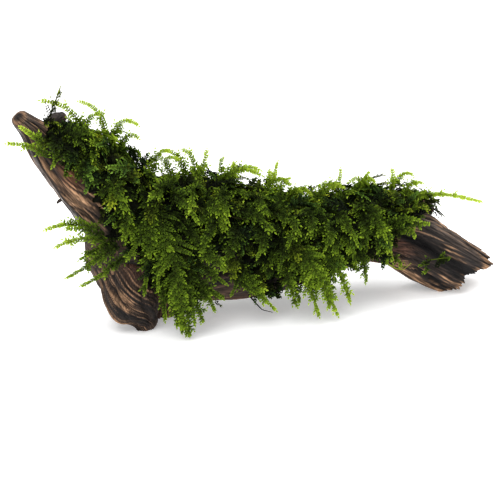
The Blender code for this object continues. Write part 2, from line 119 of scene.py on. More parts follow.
SPUR = (
    (42.6, 3.6, 19, 4.2, 4.4),
    (44.8, 3.6, 22.6, 3.6, 3.5),
    (47.8, 3.6, 23.4, 2.3, 2.2),
    (49.6, 3.6, 22.2, 1.5, 1.4),
)
KNOT = (
    (-48.6, 3.2, 50.6, 2.6, 2.8),
    (-46.8, 3.2, 53.6, 2.2, 2.2),
    (-44.8, 3.2, 55, 1.3, 1.3),
)
TWIG = (
    (-44.4, 1, 36.2, 0.8, 0.8),
    (-46.2, 1, 35.3, 0.6, 0.5),
    (-47.4, 1, 34.6, 0.6, 0.3),
)

# Grooves along the grain: angle, half width in degrees, depth, and the
# shares of the length that it runs from and to. Below 0 it is a ridge.
TRUNK_GROOVES = (
    (18, 5, 1.0, 0.70, 1.2),
    (2, 11, 1.9, 0.71, 1.2),
    (-34, 6, 1.2, 0.66, 1.2),
    (-48, 3, 0.7, 0.74, 1.2),
    (-62, 5, 0.8, 0.60, 1.2),
    (47, 3, 0.5, 0.74, 1.0),
    (60, 4, 0.6, 0.66, 1.2),
    (84, 3, 0.5, 0.78, 1.2),
    (118, 8, 1.2, 0.55, 1.2),
    (165, 8, 1.3, 0.20, 1.2),
    (205, 7, 1.1, 0.05, 0.95),
    (-100, 8, 0.9, 0.05, 0.80),
    (-20, 5, 0.8, 0.02, 0.60),
    (26, 4, -0.7, 0.72, 1.2),
)
ARM_GROOVES = (
    (-82, 3, 0.5, 0.06, 0.80),
    (-66, 4, 0.8, 0.10, 0.90),
    (-50, 3, 0.5, 0.20, 0.70),
    (-36, 6, 0.9, 0.16, 0.80),
    (-20, 3, 0.6, 0.25, 0.75),
    (-8, 8, 0.7, 0.20, 0.90),
    (40, 9, 0.8, 0.15, 0.70),
    (150, 8, 1.0, 0.15, 0.90),
    (186, 5, 0.7, 0.10, 0.80),
    (212, 8, 1.0, 0.15, 0.90),
)
FOOT_GROOVES = (
    (-40, 8, 0.9, 0.20, 0.95),
    (-12, 5, 0.5, 0.35, 0.95),
    (18, 8, 0.9, 0.25, 0.95),
    (44, 5, 0.6, 0.30, 0.95),
    (160, 14, 0.8, 0.20, 0.90),
)
HEEL_GROOVES = ((20, 10, 0.7, 0.2, 0.9), (-150, 14, 0.6, 0.2, 0.9))

# How far a groove strays in degrees, and fades in as a share of the length
GROOVE_WANDER = 6
GROOVE_FADE = 0.08

# Section of a limb: 2 is an ellipse, more is squarer
SQUARENESS = 2.4

# Broken end: share of the half height, and how far the splinters reach there
SPLINTERS = (
    (-1.0, -0.8),
    (-0.5, 1.0),
    (-0.1, 0.2),
    (0.1, 2.0),
    (0.4, 3.8),
    (0.72, 6.4),
    (1.0, 4.2),
)

# Moss: leaves along a side branch, and side branches along a frond. The
# angles are in radians from the stalk.
LEAF_LENGTH = 1.2
LEAF_WIDTH = 0.58
LEAF_SPACING = 0.64
LEAF_ANGLE = 0.86
BRANCH_SPACING = 1.9
BRANCH_ANGLE = 1.2
SHORTEST_BRANCH = 1.2
MISSING_BRANCHES = 0.05

# Share of a frond's stem that bears side branches
BRANCHED = 0.9

# Stalks: thickness of a branch's and of a stem, and how high over the leaves
STALK = 0.16
STEM_STALK = 0.32
STALK_LIFT = 0.07

# What a leaf's tone gains at its root, rib, edge and tip: painted shade at the root and rib, painted light
# at the edge and tip
LEAF_TONES = (-0.2, -0.06, 0.06, 0.12)

# A clump's bed: its points along and around, and its share of the depth
BED_GRID = (60, 110)
BED_DEPTH = 0.42

# How much brighter a frond is at its tip than at its root: lighter new growth and painted light
FROND_GLOW = 0.30

# Lowest that a frond hangs over the ground
GROUND_GAP = 0.25

# How a small frond lies: share of its full length, and how far it stands out,
# sags, and turns in again, each from and to
LENGTHS = (0.85, 1.1)
STANDS_OUT = (0.12, 0.55)
SAGS = (0.0, 0.5)
TURNS_IN = (0.1, 0.5)

# How far its way strays, in radians, and how much more on top of a limb
STRAYS = 0.85
STRAYS_ON_TOP = 1.2

# How far a bed dips into the wood beside a bare spot
BARE_DIP = 5

# Hues in the moss material, from brown stems to blue-green leaves
STEM = 0.05
OLIVE = 0.3
GREEN = 0.5
BLUE_GREEN = 0.8


def to_frame(points):
    return (np.asarray(points) - CENTRE) * MM


def unit(vectors):
    lengths = np.linalg.norm(vectors, axis=-1, keepdims=True)
    return vectors / np.maximum(lengths, 1e-9)


def noise_at(points):
    """Smooth noise from about -1 to 1 at each row of three numbers."""
    flat = np.asarray(points, float).reshape(-1, 3)
    values = [noise.noise(Vector(p)) for p in flat]
    return np.array(values).reshape(np.shape(points)[:-1])


def noise_in(x, y, z):
    """The same noise, at places given by their three parts."""
    return noise_at(np.stack(np.broadcast_arrays(x, y, z), -1))


def distance(points, spot):
    return np.linalg.norm(points - np.array(spot), axis=-1)


class Limb:
    """A branch through its stations.

    Angles are in degrees: 0 is the front, 90 the upper side, 180 the back.
    """

    def __init__(self, stations, grooves=(), *, lumps, seed):
        self.stations = np.array(stations)
        self.grooves = grooves
        self.lumps = lumps
        self.seed = seed

    def rows(self, shares):
        """Station values at shares of the way along, on a smooth curve."""
        last = len(self.stations) - 1
        place = np.clip(shares, 0.0, 1.0) * last
        i = np.minimum(place.astype(int), last - 1)
        t = (place - i)[..., None]
        a = self.stations[np.maximum(i - 1, 0)]
        b = self.stations[i]
        c = self.stations[i + 1]
        d = self.stations[np.minimum(i + 2, last)]
        curve = 2 * b + (c - a) * t + (2 * a - 5 * b + 4 * c - d) * t * t
        return (curve + (3 * b - a - 3 * c + d) * t * t * t) / 2

    def section(self, shares):
        """Middle, way along, front and upper side, half depth and height."""
        row = self.rows(shares)
        ahead = self.rows(np.minimum(shares + 0.01, 1.0))[..., :3]
        behind = self.rows(np.maximum(shares - 0.01, 0.0))[..., :3]
        along = unit(ahead - behind)
        front = unit(FRONT - along * (along @ FRONT)[..., None])
        upper = np.cross(front, along)
        return row[..., :3], along, front, upper, row[..., 3:4], row[..., 4:5]

    def lump(self, shares, angles):
        """Uneven swelling, which is smooth over a station or so."""
        turn = np.radians(angles)
        along = shares * len(self.stations) * 0.7 + self.seed
        return self.lumps * noise_in(np.cos(turn) * 1.5, np.sin(turn) * 1.5, along)

    def furrow(self, shares, angles):
        """Depth of the grooves along the grain."""
        depth_here = np.zeros(np.shape(shares))
        for centre, half, depth, start, end in self.grooves:
            wander = GROOVE_WANDER * np.sin(7 * shares + centre)
            apart = np.abs((angles - centre - wander + 180) % 360 - 180)
            inside = np.minimum((shares - start) / GROOVE_FADE, (end - shares) / GROOVE_FADE)
            depth_here += depth * np.clip(inside, 0, 1) * np.exp(-(apart / half) ** 2)
        return depth_here

    def surface(self, shares, angles, lift=0.0):
        """Points on the limb raised by lift, and the way out from it."""
        shares = np.asarray(shares, float)
        angles = np.asarray(angles, float)
        middle, along, front, upper, depth, height = self.section(shares)
        turn = np.radians(angles)[..., None]
        c, s = np.cos(turn), np.sin(turn)
        square = (np.abs(c) ** SQUARENESS + np.abs(s) ** SQUARENESS) ** (-1 / SQUARENESS)
        out = unit(front * (c / depth) + upper * (s / height))
        base = middle + front * (depth * square * c) + upper * (height * square * s)
        raised = np.asarray(lift + self.lump(shares, angles))[..., None]
        return base + out * raised, out

    def nearest(self, target):
        """Share and angle of the surface point nearest to a target."""
        shares, angles = np.meshgrid(np.linspace(0, 1, 41), np.arange(0, 360, 10.0))
        points = self.surface(shares, angles)[0]
        best = np.argmin(distance(points, target))
        return shares.ravel()[best], angles.ravel()[best]


def mesh_object(name, points, faces, uvs=None, colours=None):
    """Object from millimetre points, faces of four, and values per corner."""
    mesh = bpy.data.meshes.new(name)
    mesh.vertices.add(len(points))
    mesh.vertices.foreach_set("co", to_frame(points).astype(np.float32).ravel())
    mesh.loops.add(faces.size)
    mesh.loops.foreach_set("vertex_index", faces.astype(np.int32).ravel())
    mesh.polygons.add(len(faces))
    starts = np.arange(len(faces), dtype=np.int32) * 4
    mesh.polygons.foreach_set("loop_start", starts)
    mesh.update(calc_edges=True)
    if uvs is not None:
        layer = mesh.uv_layers.new(name=UV_MAP)
        layer.uv.foreach_set("vector", uvs.astype(np.float32).ravel())
    if colours is not None:
        layer = mesh.color_attributes.new(BARK_COLOURS, "FLOAT_COLOR", "POINT")
        layer.data.foreach_set("color", colours.astype(np.float32).ravel())
    mesh.validate()
    obj = bpy.data.objects.new(name, mesh)
    bpy.context.scene.collection.objects.link(obj)
    return obj


# The wood

# Bark colours
CHARCOAL = np.array((0.008, 0.007, 0.007))
SOOT = np.array((0.014, 0.011, 0.010))
BROWN = np.array((0.070, 0.042, 0.028))
GREY = np.array((0.115, 0.095, 0.083))
TAN = np.array((0.330, 0.190, 0.105))
RED_BROWN = np.array((0.110, 0.045, 0.028))
SILVER_HIGHLIGHT = np.array((0.330, 0.300, 0.290))

# Degrees between the rings of a rounded end
DOME_STEP = 8

# A loft's part of the map: its sides unrolled, and beside them both ends as
# discs of this radius
SIDES_WIDE = 0.8
DISC_RADIUS = 0.085
START_DISC = (0.9, 0.25)
FINISH_DISC = (0.9, 0.75)


def mix(a, b, share):
    return a + (b - a) * np.clip(share, 0, 1)[..., None]


def round_about(angles, centre, half):
    """1 at an angle round a limb, fading out over half a width."""
    apart = np.abs((angles - centre + 180) % 360 - 180)
    return np.exp(-(apart / half) ** 2)


def between(values, start, end, fade):
    """1 from start to end, fading out over a length beyond them."""
    return np.clip(np.minimum(values - start, end - values) / fade + 1, 0, 1)


def close_to(points, spot, size):
    """1 at a spot, fading out over a size in millimetres."""
    return np.exp(-(distance(points, spot) / size) ** 2)


class Grain:
    """Weathered grain: noise drawn out along a limb, at several scales."""

    def __init__(self, limb, shares, angles, twist, scale):
        radius = float(limb.stations[:, 3:].mean())
        steps = np.diff(limb.stations[:, :3], axis=0)
        self.along = shares * float(np.linalg.norm(steps, axis=1).sum()) + limb.seed * 11
        wander = 1.3 * np.sin(self.along / 9) + 0.5 * np.sin(self.along / 3.7) + twist * self.along
        turn = np.radians(angles) + wander / radius
        self.x, self.y = np.cos(turn) * radius / scale, np.sin(turn) * radius / scale
        self.coarse = self.fibres(2.8, 20, 1.0)
        self.medium = self.fibres(1.15, 13, 5.0)
        self.fine = self.fibres(0.55, 7, 9.0)
        self.hair = self.fibres(0.33, 4, 13.0)
        self.patch = self.fibres(5, 9, 31.0)
        split = np.exp(-(self.fibres(1.7, 26, 17.0) / 0.055) ** 2)
        self.crack = split * np.clip(self.fibres(4.5, 12, 21.0) * 5 + 0.5, 0, 1)

    def fibres(self, across, along, seed):
        """Noise in threads of about this width and length."""
        return noise_in(self.x / across, self.y / across, self.along / along + seed)

    def relief(self):
        """Height of the bark over the limb."""
        height = 0.42 * self.coarse + 0.34 * self.medium + 0.22 * self.fine + 0.10 * self.hair
        return height - 0.55 * self.crack

    def colour(self, furrow, look):
        """Tan where the grain is worn, with painted shade darkening the splits and furrows."""
        fibre = 0.5 * self.medium + 0.7 * self.fine + 0.5 * self.hair + 0.2 * self.coarse
        colour = mix(SOOT, BROWN, 0.38 + 1.3 * fibre + 0.8 * self.patch)
        colour = mix(colour, GREY, look.get("grey", 0) * (0.5 + 1.6 * fibre))
        worn = look.get("worn", 0.1) + 0.5 * self.patch
        colour = mix(colour, TAN * (0.9 + 0.9 * self.hair[..., None]), (1.5 * fibre + worn - 0.42) * 2.0)
        for mask, tone in look.get("stains", ()):
            colour = mix(colour, tone, mask * (0.8 + fibre))
        # The splits and furrows go towards charcoal: painted shade in the recesses.
        colour = mix(colour, CHARCOAL, 0.95 * self.crack)
        return mix(colour, CHARCOAL, furrow * 0.9 - 0.25)


def trunk_look(shares, angles, points):
    """Rough grey top, tan ledge and a groove along the leg, charcoal with painted shade."""
    leg = between(shares, 0.72, 1.2, 0.06)
    worn = leg * (0.05 + 0.40 * round_about(angles, 27, 7) + 0.40 * round_about(angles, -44, 16))
    # Tan low on the front, and less tan in the groove at the front, which is painted shade.
    worn += leg * 0.60 * round_about(angles, -68, 14) - leg * 0.3 * round_about(angles, 4, 11)
    worn += 0.4 * between(shares, 0.985, 1.1, 0.02) - 0.45 * (1 - leg)
    red = close_to(points, (37.0, -5.0, 17.5), 5.0) + 0.7 * (1 - leg) * round_about(angles, -74, 14)
    return {"worn": worn, "grey": leg * round_about(angles, 72, 36),
            "stains": ((red, RED_BROWN),)}


def arm_look(shares, angles, points):
    """Silvery left edge with a painted highlight along it, tan flank, painted shade in a hollow, and a knot
    at the tip.
    """
    tip = between(shares, -1, 0.05, 0.10)
    worn = 0.10 + 0.34 * round_about(angles, -38, 20) - 0.2 * tip
    # A silvery line along the left edge: weathered grey wood, brightened as a painted highlight.
    edge = round_about(angles, -71, 9) * between(shares, 0.08, 0.62, 0.1)
    dark_line = round_about(angles, -58, 3.5) * between(shares, 0.05, 0.6, 0.1)
    # A near-black spot where the hollow under the moss lies in shade: painted shade.
    hollow = close_to(points, (-47.4, -3.0, 47.4), 3.2)
    knot = distance(points, (-56, 0, 57))
    return {"worn": worn, "grey": 0.6 * tip, "stains": (
        (0.5 * np.exp(-((knot - 1.9) / 0.4) ** 2), TAN), (np.exp(-(knot / 1.3) ** 4), SOOT),
        (0.95 * edge, SILVER_HIGHLIGHT), (dark_line, SOOT), (hollow * 1.4, CHARCOAL),
        (0.7 * close_to(points, (-44.0, -4.0, 43.2), 3.2), TAN * (0.9, 0.62, 0.5)),
        (0.5 * between(shares, 0.62, 1.1, 0.1), SOOT))}


def foot_look(shares, angles, points):
    """Tan face on a dark, rough knob: worn wood with a painted highlight on it."""
    # The bright patch on the front face is wear with a painted highlight on it.
    worn = -0.08 + 0.80 * close_to(points, (-34.5, -7.0, 10.5), 4.0)
    worn += 0.5 * close_to(points, (-28.0, -5.0, 2.0), 2.6)
    return {"worn": worn, "stains": ((0.6 * close_to(points, (-28.5, -6.0, 19.0), 4.0), RED_BROWN),)}


def heel_look(shares, angles, points):
    """Red-brown, a little worn in front."""
    worn = 0.05 + 0.2 * round_about(angles, 0, 40)
    return {"worn": worn, "stains": ((np.full(shares.shape, 0.45), RED_BROWN),)}


def spur_look(shares, angles, points):
    """Grey and hardly worn."""
    return {"worn": np.full(shares.shape, 0.02), "grey": np.full(shares.shape, 0.45)}


def knot_look(shares, angles, points):
    """Worn and greyish, for the knot and the twig."""
    return {"worn": np.full(shares.shape, 0.16), "grey": np.full(shares.shape, 0.30)}


def splinter_reach(angles):
    """How far the grain reaches beyond the last station at an angle."""
    table = np.array(SPLINTERS)
    reach = np.interp(np.sin(np.radians(angles)), table[:, 0], table[:, 1])
    for width, height, seed in ((14, 0.9, 3.1), (4, 1.1, 5.2), (1.6, 0.6, 8.4)):
        reach = reach + height * noise_in(angles / width, seed, 0)
    return reach


def domed_end(ring, middle, along, height, colour):
    """Rings that round off an end, with blotchy end grain on them."""
    rings, tones = [], []
    for turn in range(DOME_STEP, 90, DOME_STEP):
        rise = along * height * math.sin(math.radians(turn))
        dome = middle + (ring - middle) * math.cos(math.radians(turn)) + rise
        blotch = 0.5 + 0.8 * noise_at(dome * 0.5) + 0.7 * noise_at(dome * 1.6)
        end_grain = mix(np.broadcast_to(SOOT, colour.shape), BROWN * 1.6, blotch)
        rings.append(dome)
        tones.append(mix(colour, end_grain, np.full(len(ring), turn / 45)))
    return np.array(rings), np.array(tones)


def broken_end(ring, middle, along, sink, colour):
    """Rings that fall into a hollow, splintered break, darker deeper in as painted shade."""
    rings, tones = [], []
    for share in np.linspace(0.08, 0.96, 11):
        inner = middle + (ring - middle) * (1 - share)
        rough = noise_at(inner * 0.9) * 1.6 + noise_at(inner * 2.8) * 1.1
        depth = -sink * math.sin(share * math.pi / 2) + rough * min(1, 3 * share)
        rings.append(inner + along * depth[:, None])
        tone = mix(np.broadcast_to(BROWN, colour.shape), TAN, 0.45 + rough * 0.7)
        # Darker deeper in the break and in its dips, lighter on the splinters that stand out: painted
        # shade.
        tones.append(mix(tone, SOOT, 0.25 + 0.5 * share - rough * 0.4))
    return np.array(rings), np.array(tones)


def tube_faces(rings, around):
    """Faces between the rings of a tube."""
    i = np.arange(rings - 1)[:, None] * around
    j = np.arange(around)[None, :]
    k = (j + 1) % around
    return np.stack((i + j, i + k, i + around + k, i + around + j), -1).reshape(-1, 4)


def loft_faces(rings, around):
    """Faces between the rings, and fans of four corners on both ends."""
    count = rings * around
    first = np.arange(0, around, 2)
    second, third = (first + 1) % around, (first + 2) % around
    start = np.stack((first * 0 + count, third, second, first), -1)
    last = count - around
    finish = np.stack((first * 0 + count + 1, last + first, last + second, last + third), -1)
    return np.concatenate((tube_faces(rings, around), start, finish))


def loft_uvs(rings, around, place):
    """Corner values: the sides unrolled, and both ends as discs beside them."""
    left, low, wide, high = place
    i = np.arange(rings - 1)[:, None] + np.zeros((1, around))
    j = np.arange(around)[None, :] + np.zeros((rings - 1, 1))
    u = np.stack((j, j + 1, j + 1, j), -1) / around * SIDES_WIDE
    v = np.stack((i, i, i + 1, i + 1), -1) / (rings - 1)
    sides = np.stack((u, v), -1).reshape(-1, 4, 2)
    turns = 2 * math.pi * (np.arange(0, around, 2)[:, None] + np.arange(3)) / around
    rim = np.stack((np.cos(turns), np.sin(turns)), -1) * DISC_RADIUS
    middle = np.zeros((len(rim), 1, 2))
    start = np.concatenate((middle, rim[:, ::-1]), axis=1) + START_DISC
    finish = np.concatenate((middle, rim), axis=1) + FINISH_DISC
    return np.concatenate((sides, start, finish)) * (wide, high) + (left, low)


def bark_loft(limb, size, ends, look, place=(0, 0, 1, 1), reach=None, twist=0.0, scale=1.0):
    """Points, faces, corner values and colours of a limb's bark.

    size is how many points lie around and along it, and ends is how far the
    two ends dome out, or how deep a broken one sinks in.
    """
    around, lengths = size
    steps = np.linspace(0, 1, lengths + 1)
    shares, angles = np.meshgrid(steps, np.arange(around) * 360 / around, indexing="ij")
    furrow = limb.furrow(shares, angles)
    grain = Grain(limb, shares, angles, twist, scale)
    points = limb.surface(shares, angles, grain.relief() - furrow)[0]
    colour = grain.colour(furrow, look(shares, angles, points))
    middle, along = limb.section(steps)[:2]
    if reach is not None:
        push = np.clip(shares * 6 - 5, 0, 1) * reach(angles)
        points = points + along[:, None, :] * push[..., None]
    start, start_tones = domed_end(points[0], middle[0], -along[0], ends[0], colour[0])
    for i, ring in enumerate(start):
        for mask, tone in look(shares[0], angles[0], ring).get("stains", ()):
            start_tones[i] = mix(start_tones[i], tone, mask)
    closing = broken_end if reach is not None else domed_end
    finish, finish_tones = closing(points[-1], middle[-1], along[-1], ends[1], colour[-1])
    grid = np.concatenate((start[::-1], points, finish))
    tones = np.concatenate((start_tones[::-1], colour, finish_tones))
    tips = np.array((grid[0].mean(axis=0), grid[-1].mean(axis=0)))
    flat = np.concatenate((grid.reshape(-1, 3), tips))
    tones = np.concatenate((tones.reshape(-1, 3), tones[0, :1], tones[-1, :1]))
    flat[:, 2] = np.maximum(flat[:, 2], CENTRE[2])
    return (flat, loft_faces(len(grid), around), loft_uvs(len(grid), around, place),
            np.concatenate((tones, np.ones((len(tones), 1))), axis=1))


def bark_object(name, lofts):
    """One object of one or more lofts that grow into each other."""
    points = np.concatenate([loft[0] for loft in lofts])
    before = np.cumsum([0] + [len(loft[0]) for loft in lofts])
    faces = np.concatenate([loft[1] + start for loft, start in zip(lofts, before)])
    uvs = np.concatenate([loft[2] for loft in lofts])
    colours = np.concatenate([loft[3] for loft in lofts])
    obj = mesh_object(name, points, faces, uvs, colours)
    obj.data.shade_smooth()
    return obj


# The moss


class Sprig:
    """Points, faces and corner values of a flat frond, stem along +X.

    A corner's values are its tone, from painted shade in the folds to painted
    light at the tips, and its hue, from brown stems through olive to blue-green
    leaves.
    """

    def __init__(self, hue):
        self.hue = hue
        self.points, self.faces, self.values = [], [], []

    def quad(self, corners, tones, hue):
        base = len(self.points)
        self.points.extend(corners)
        self.faces.append((base, base + 1, base + 2, base + 3))
        self.values.append([(tone, hue) for tone in tones])

    def leaf(self, spot, heading, length, width, lift, tone):
        """Folded leaf: its two halves rise from the midrib."""
        ahead = np.array((math.cos(heading), math.sin(heading), 0.0))
        side = np.array((-ahead[1], ahead[0], 0.0)) * width / 2
        rib = spot + ahead * length * 0.45 + (0, 0, lift * length * 0.5)
        edge = rib - ahead * length * 0.05 + (0, 0, 0.4 * width)
        tip = spot + ahead * length + (0, 0, lift * length)
        at_root, at_rib, at_edge, at_tip = (tone + gain for gain in LEAF_TONES)
        self.quad((spot, rib, tip, edge + side), (at_root, at_rib, at_tip, at_edge), self.hue)
        self.quad((spot, edge - side, tip, rib), (at_root, at_edge, at_tip, at_rib), self.hue)

    def stalk(self, start, end, thick, tone):
        """Thin strip from start to end, just above the leaves."""
        ahead = unit(end - start)
        side = np.array((-ahead[1], ahead[0], 0.0)) * thick / 2
        up = np.array((0.0, 0.0, STALK_LIFT))
        corners = (start - side + up, end - side * 0.7 + up, end + side * 0.7 + up, start + side + up)
        self.quad(corners, (tone,) * 4, OLIVE)

    def branch(self, spot, heading, length, pitch, dice, tone, bend=0.0, plump=1.0):
        """Stalk with two rows of leaves and one more at its tip."""
        count = max(2, round(length / LEAF_SPACING))
        step = length / count
        here, start = spot, spot
        # Leaves get brighter towards the branch's tip: lighter new growth and painted light.
        for i in range(count):
            t = i / count
            angle = heading + bend * t
            size = plump * LEAF_LENGTH * (1.1 - 0.45 * t) * dice.uniform(0.85, 1.15)
            for way in (1, -1):
                turn = angle + way * (LEAF_ANGLE - 0.3 * t) + dice.uniform(-0.14, 0.14)
                self.leaf(here, turn, size, plump * LEAF_WIDTH * dice.uniform(0.85, 1.1),
                          dice.uniform(-0.15, 0.45), tone + 0.18 * t + dice.uniform(-0.08, 0.08))
            here = here + step * np.array((math.cos(angle), math.sin(angle), pitch - 0.1 * t))
            if i % 3 == 2 or i == count - 1:
                self.stalk(start, here, STALK, tone + 0.04)
                start = here
        # The tip leaf is brightest: lighter new growth and painted light.
        self.leaf(here, heading + bend, LEAF_LENGTH * 0.8, LEAF_WIDTH * 0.8, pitch, tone + 0.24)

    def done(self, length):
        """The frond as arrays by name, with its length."""
        shape = (np.array(self.points), np.array(self.faces), np.array(self.values))
        return dict(zip(("points", "faces", "values"), shape), length=length)


def make_frond(length, width, dice, hue=GREEN):
    """Feathery frond: a leafy stem with side branches in two rows."""
    sprig = Sprig(hue)
    sprig.branch(np.zeros(3), 0.0, length, 0.0, dice, 0.0, 0.0, 1.1)
    bearing = BRANCHED * length
    count = max(2, round(bearing / BRANCH_SPACING))
    for i in range(count):
        t = BRANCHED * (i + 0.4) / count
        reach = width / 2 * min(1.0, 0.55 + 2.2 * t) * (1 - t) ** 0.55
        for way in (1, -1):
            span = reach * dice.uniform(0.65, 1.25)
            if span < SHORTEST_BRANCH or dice.random() < MISSING_BRANCHES:
                continue
            spot = np.array((t * length + way * BRANCH_SPACING * 0.25, 0.0, 0.0))
            heading = way * (BRANCH_ANGLE - 0.45 * t + dice.uniform(-0.16, 0.16))
            sprig.branch(spot, heading, span, dice.uniform(-0.35, 0.3), dice,
                         0.06 * t + dice.uniform(-0.07, 0.07), -way * dice.uniform(0.0, 0.5))
        base = np.array((t * length, 0.0, 0.0))
        sprig.stalk(base, base + (bearing / count, 0, 0), STEM_STALK * (1 - 0.6 * t), -0.02)
    return sprig.done(length)


def make_shoot(length, dice, hue):
    """Single shoot with two rows of leaves."""
    sprig = Sprig(hue)
    sprig.branch(np.zeros(3), 0.0, length, 0.0, dice, 0.0)
    return sprig.done(length)


class Clump:
    """Everything that one clump of moss is made of."""

    def __init__(self):
        self.points, self.faces, self.uvs = [], [], []
        self.total = 0

    def add(self, points, faces, uvs):
        """Takes in points and the faces between them."""
        self.points.append(points)
        self.faces.append(faces + self.total)
        self.uvs.append(uvs)
        self.total += len(points)

    def place(self, sprig, path, face, tone, twist=0.0, cup=0.0):
        """Bends a flat frond along a path of three points, facing a way."""
        start, middle, tip = (np.array(p, float) for p in path)
        t = np.clip(sprig["points"][:, :1] / sprig["length"], 0, 1.08)
        spot = start * (1 - t) ** 2 + middle * (2 * t * (1 - t)) + tip * (t * t)
        along = unit((middle - start) * (1 - t) + (tip - middle) * t)
        side = unit(np.cross(along, np.array(face, float)))
        normal = np.cross(side, along)
        turn = twist * t
        across = side * np.cos(turn) + normal * np.sin(turn)
        above = normal * np.cos(turn) - side * np.sin(turn)
        y = sprig["points"][:, 1:2]
        z = sprig["points"][:, 2:3] - cup * y * y
        points = spot + across * y + above * z
        points[:, 2] = np.maximum(points[:, 2], CENTRE[2] + GROUND_GAP)
        values = sprig["values"].copy()
        # Brighter towards the frond's tip: lighter new growth and painted light.
        brighter = tone + FROND_GLOW * (t[sprig["faces"]][..., 0] - 0.6)
        values[..., 0] = np.clip(values[..., 0] + brighter, 0.01, 0.99)
        self.add(points, sprig["faces"], values)

    def thread(self, path, thick, tone, hue):
        """Bare round stem through a row of points."""
        path = np.array(path, float)
        steps = np.linspace(0, 1, 4 * len(path))
        place = np.linspace(0, 1, len(path))
        line = np.stack([np.interp(steps, place, path[:, axis]) for axis in range(3)], -1)
        line[1:-1] = (line[:-2] + 2 * line[1:-1] + line[2:]) / 4
        along = unit(np.gradient(line, axis=0))
        side = unit(np.cross(along, (0.2, 0.9, 0.4)))
        over = np.cross(side, along)
        radius = thick / 2 * (1 - 0.6 * steps)[:, None]
        corners = [line + radius * (side * c + over * s) for c, s in ((1, 0), (0, 1), (-1, 0), (0, -1))]
        points = np.stack(corners, axis=1).reshape(-1, 3)
        faces = tube_faces(len(steps), 4)
        self.add(points, faces, np.broadcast_to((tone, hue), (len(faces), 4, 2)))

    def build(self, name):
        """One object of all that was added."""
        return mesh_object(name, np.concatenate(self.points), np.concatenate(self.faces),
                           np.concatenate(self.uvs))


def bound(edge, u):
    """Angle of a patch's edge, from its angles at start, half way and end."""
    return np.interp(u, (0.0, 0.5, 1.0), edge)


def spot_on(plan, u, v):
    """Share and angle of a place in a clump's patch of its limb."""
    low, high = plan["angles"]
    start, end = plan["shares"]
    return start + (end - start) * u, bound(low, u) * (1 - v) + bound(high, u) * v


def bed(clump, limb, plan, seed):
    """Dark matted bed of a clump, close over the wood, near-black as painted shade deep in the moss."""
    columns, rows = BED_GRID
    u, v = np.meshgrid(np.linspace(0, 1, columns), np.linspace(0, 1, rows), indexing="ij")
    shares, angles = spot_on(plan, u, v)
    uneven = noise_in(v * 9, u * 4, seed)
    shares = shares + 0.035 * uneven * (2 * u - 1)
    angles = angles + 16 * noise_in(shares * 40, v * 2, seed) * (1 - 2 * v)
    rim = (1 - np.abs(2 * u - 1) ** 6) * (1 - np.abs(2 * v - 1) ** 8)
    base = limb.surface(shares, angles)[0]
    lumps = noise_at(base / 2.6 + seed) * 0.5 + noise_at(base / 0.8) * 0.6
    depth = plan["depth"] * BED_DEPTH * rim * (1 + 0.9 * lumps) - 0.7 * (1 - rim)
    for spot, size in BARE:
        depth = depth - BARE_DIP * np.clip(size + 1 - distance(base, spot), 0, 1)
    points = limb.surface(shares, angles, depth)[0]
    i = np.arange(columns - 1)[:, None] * rows
    j = np.arange(rows - 1)[None, :]
    faces = np.stack((i + j, i + rows + j, i + rows + j + 1, i + j + 1), -1).reshape(-1, 4)
    # The bed's low tone is painted shade deep in the clump.
    tone = np.clip(0.10 + 0.22 * lumps, 0.01, 0.3).ravel()[faces]
    clump.add(points.reshape(-1, 3), faces, np.stack((tone, np.full(tone.shape, OLIVE)), -1))


def random_way(dice):
    """A direction, with all of them as likely."""
    return unit(np.array((dice.gauss(0, 1), dice.gauss(0, 1), dice.gauss(0, 1))))


def scattered(count, dice):
    """Places spread evenly but not in rows over a patch and just past it."""
    for i in range(count):
        v = (i * 0.618034 + dice.uniform(-0.04, 0.04)) % 1.0
        yield -0.04 + 1.08 * (i + dice.random()) / count, v


def is_bare(points):
    """Whether any of the points lies where the wood shows in front."""
    for spot, size in BARE:
        if min(distance(points, spot)) < size:
            return True
    return False


def grow(clump, limb, plan, fronds, shoots, dice):
    """Covers a patch with small overlapping fronds, then fills in shoots.

    Near the edge of a patch only the frond sizes that have room are used.
    """
    radius = float(limb.stations[:, 3:].mean())
    for u, v in scattered(plan["fill"], dice):
        share, angle = spot_on(plan, u, v)
        edge = min(v, 1 - v) * (plan["angles"][1][1] - plan["angles"][0][1])
        room = math.radians(edge) * radius + 4.0
        fitting = [frond for frond in fronds if frond["length"] <= max(room, 6.1)]
        lay(clump, limb, plan, (share, angle), dice.uniform(0.15, 0.8), dice.choice(fitting), dice)
    for u, v in scattered(plan["shoots"], dice):
        lay(clump, limb, plan, spot_on(plan, u, v), dice.uniform(0.2, 0.6), dice.choice(shoots), dice, 0.9)


